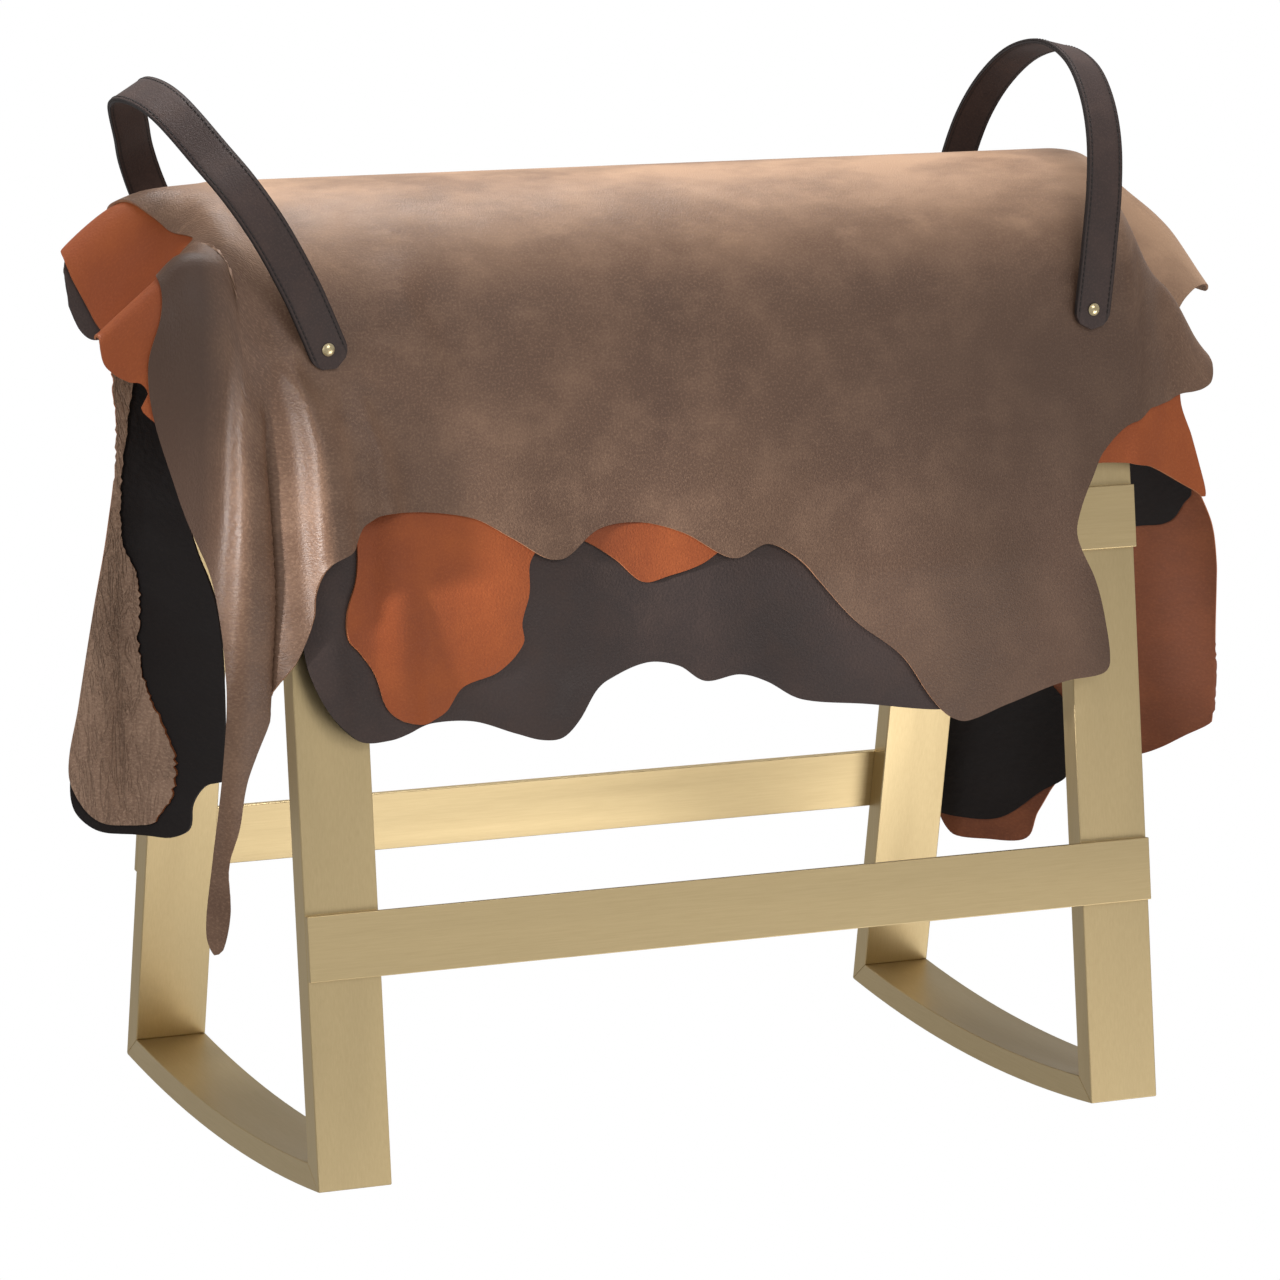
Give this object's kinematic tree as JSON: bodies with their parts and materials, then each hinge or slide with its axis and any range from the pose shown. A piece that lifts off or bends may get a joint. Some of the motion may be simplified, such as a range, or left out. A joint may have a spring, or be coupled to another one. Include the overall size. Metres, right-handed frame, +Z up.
{
  "type": "rocking stool",
  "caption": "Saddle-shaped rocking stool: brass tube end frames on curved rockers, a padded barrel seat under draped leather hides, and swinging strap handles.",
  "frame": {"origin": "on the floor, midway between the two rockers and under the middle of the seat", "axes": "+X along the seat from the left end frame to the right one, -Y towards the front, +Z up"},
  "size_m": [1.0254, 0.426, 0.8485],
  "materials": {
    "brass_frame": "satin brushed",
    "rivet_brass": "polished",
    "top_leather": "brown nubuck",
    "cognac_leather": "cognac nubuck",
    "dark_leather": "espresso nubuck",
    "inner_leather": "brown nubuck with a raw flesh side",
    "strap_leather": "edge-stitched bridle leather",
    "seat_foam": "cloth-covered foam",
    "seat_board": "bent plywood",
    "screw_steel": "plain"
  },
  "bodies": {
    "stool": {"back_left_leg": "brass_frame", "back_right_leg": "brass_frame", "front_left_leg": "brass_frame", "front_right_leg": "brass_frame", "left_rocker": "brass_frame", "right_rocker": "brass_frame", "left_arch": "brass_frame", "right_arch": "brass_frame", "back_lower_rail": "brass_frame", "front_lower_rail": "brass_frame", "back_upper_rail": "brass_frame", "front_upper_rail": "brass_frame", "seat_tabs": "brass_frame", "seat_pad": "seat_foam", "seat_board": "seat_board", "seat_screws": "screw_steel", "inner_brown_hide": "inner_leather", "dark_hide": "dark_leather", "orange_hide": "cognac_leather", "top_hide": "top_leather", "left_handle_rivets": "rivet_brass", "right_handle_rivets": "rivet_brass"},
    "left_handle": {"left_handle_strap": "strap_leather", "left_handle_lining": "strap_leather"},
    "right_handle": {"right_handle_strap": "strap_leather", "right_handle_lining": "strap_leather"}
  },
  "joints": [
    {"name": "left_handle_swing", "type": "hinge", "parent": "stool", "child": "left_handle", "pos_m": [-0.327, 0, 0.64469], "axis": [0, -1, 0], "range_deg": [-78, 41]},
    {"name": "right_handle_swing", "type": "hinge", "parent": "stool", "child": "right_handle", "pos_m": [0.327, 0, 0.64469], "axis": [0, 1, 0], "range_deg": [-55, 60]}
  ]
}
